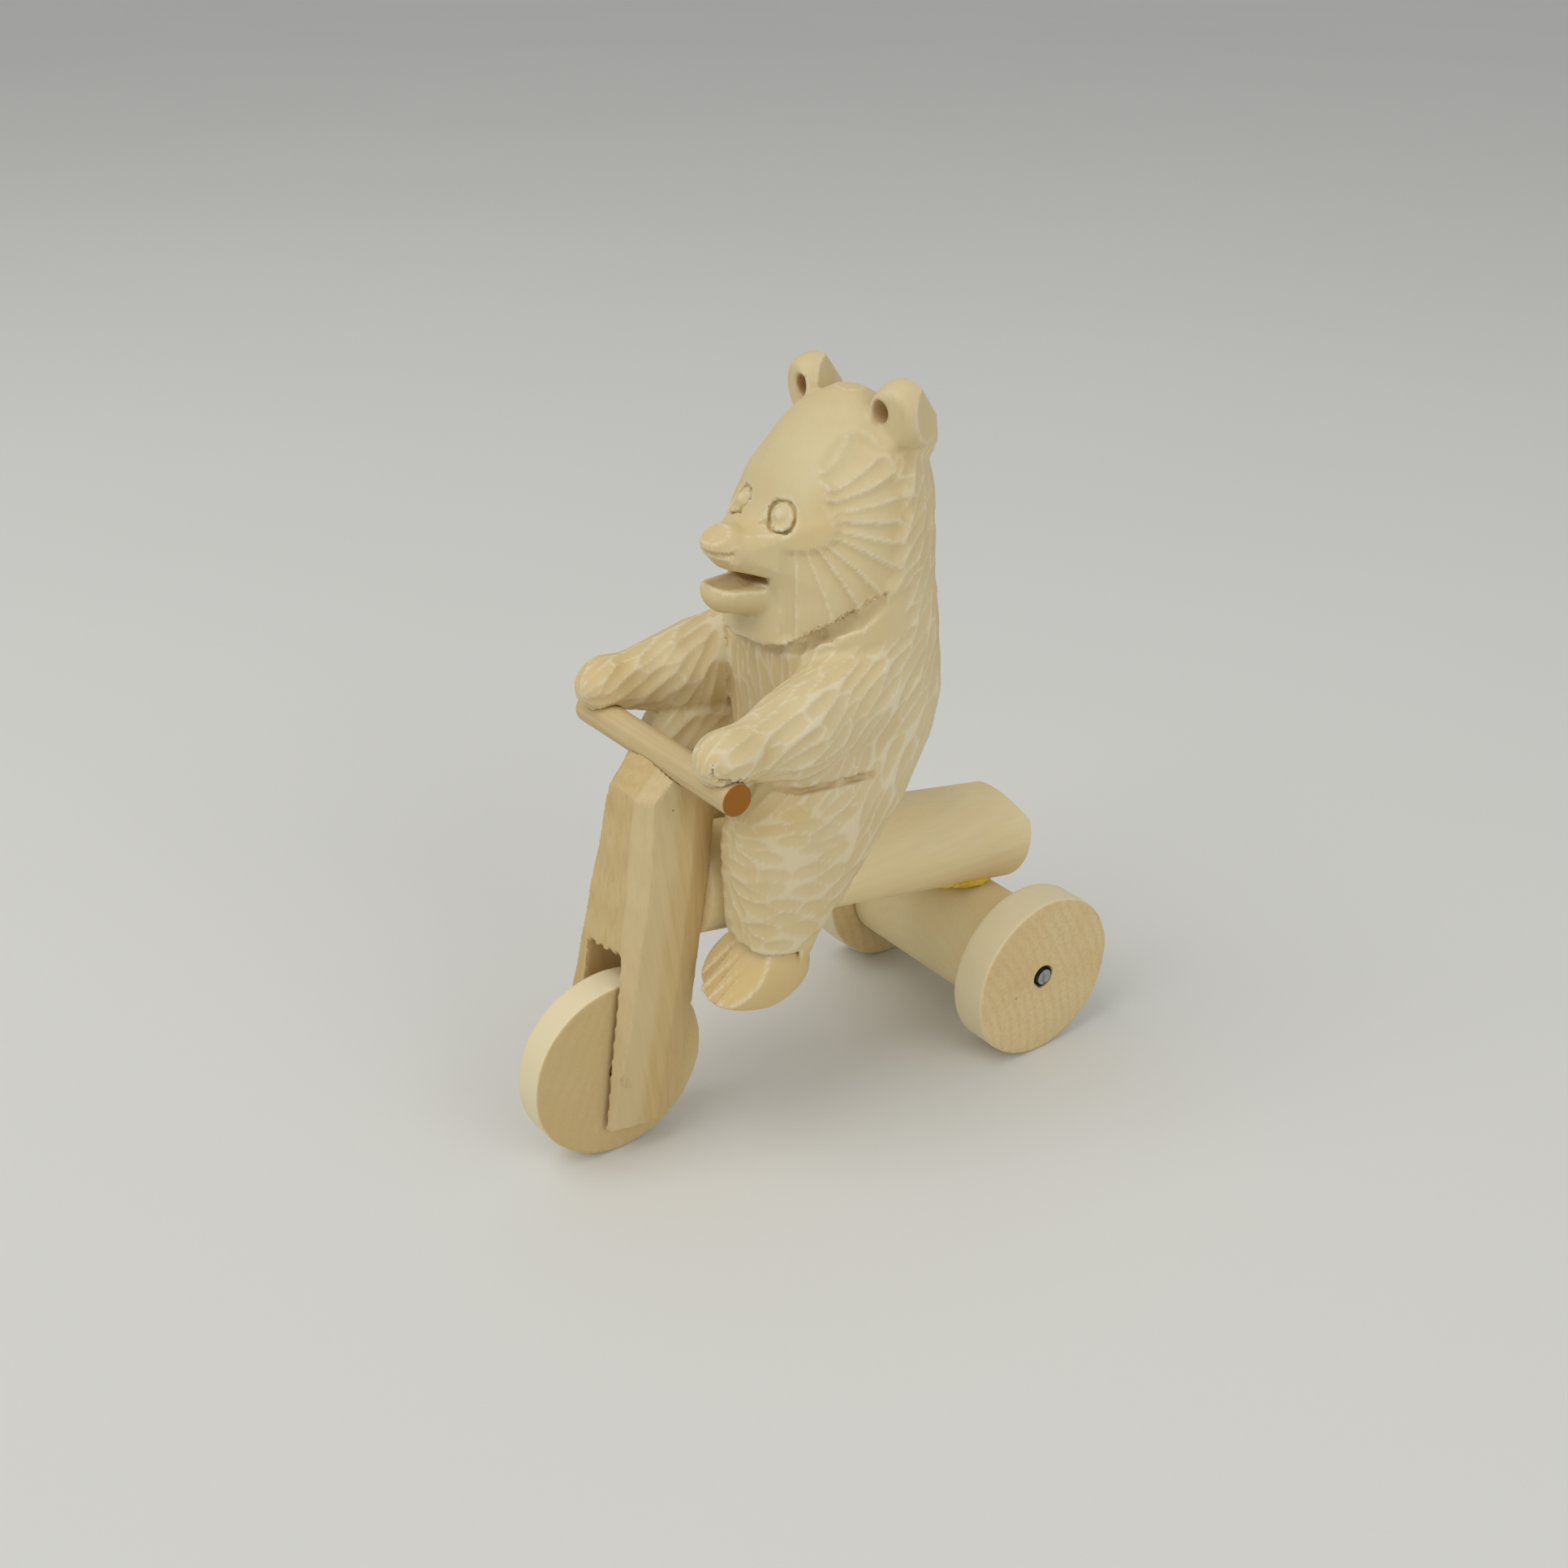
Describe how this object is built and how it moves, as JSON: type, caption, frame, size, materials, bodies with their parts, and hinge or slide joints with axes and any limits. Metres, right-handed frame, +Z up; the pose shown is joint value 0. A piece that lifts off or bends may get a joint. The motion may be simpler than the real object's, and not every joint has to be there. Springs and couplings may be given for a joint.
{
  "type": "wooden toy figurine",
  "caption": "Carved wooden bear riding a wooden tricycle: bear straddles a round frame bar, paws on a dowel handlebar; slotted fork and disc wheels that turn.",
  "frame": {"origin": "on the floor under the middle of the toy's bounding box, half way between the front of the front wheel and the back of the rear wheels", "axes": "+Z up, the toy rolls towards -Y, its own left side is +X"},
  "size_m": [0.0566, 0.1238, 0.1442],
  "materials": {
    "carved_wood": "bare limewood, knife and gouge cuts",
    "whittled_wood": "bare limewood, whittled facets",
    "turned_wood": "bare limewood, smooth and round",
    "wheel_wood": "bare limewood slices, end grain on the faces",
    "dowel_wood": "bare smooth dowel",
    "nail_steel": "dull dark steel",
    "dried_glue": "yellowed dried glue"
  },
  "bodies": {
    "root": {"bear": "carved_wood", "handlebar": "dowel_wood", "fork": "whittled_wood", "frame_bar": "turned_wood", "rear_axle_block": "turned_wood", "front_axle_peg": "dowel_wood", "fork_peg": "dowel_wood", "seat_peg": "dowel_wood", "rear_nail_left": "nail_steel", "rear_nail_right": "nail_steel", "glue_bead": "dried_glue"},
    "front_wheel": {"front_wheel": "wheel_wood"},
    "rear_wheel_left": {"rear_wheel_left": "wheel_wood"},
    "rear_wheel_right": {"rear_wheel_right": "wheel_wood"}
  },
  "joints": [
    {"name": "front_wheel_spin", "type": "hinge", "parent": "root", "child": "front_wheel", "pos_m": [0, -0.0434, 0.0185], "axis": [1, 0, 0], "continuous": true},
    {"name": "rear_wheel_left_spin", "type": "hinge", "parent": "root", "child": "rear_wheel_left", "pos_m": [0.0241, 0.044, 0.0179], "axis": [1, 0, 0], "continuous": true},
    {"name": "rear_wheel_right_spin", "type": "hinge", "parent": "root", "child": "rear_wheel_right", "pos_m": [-0.0241, 0.044, 0.0179], "axis": [1, 0, 0], "continuous": true}
  ]
}
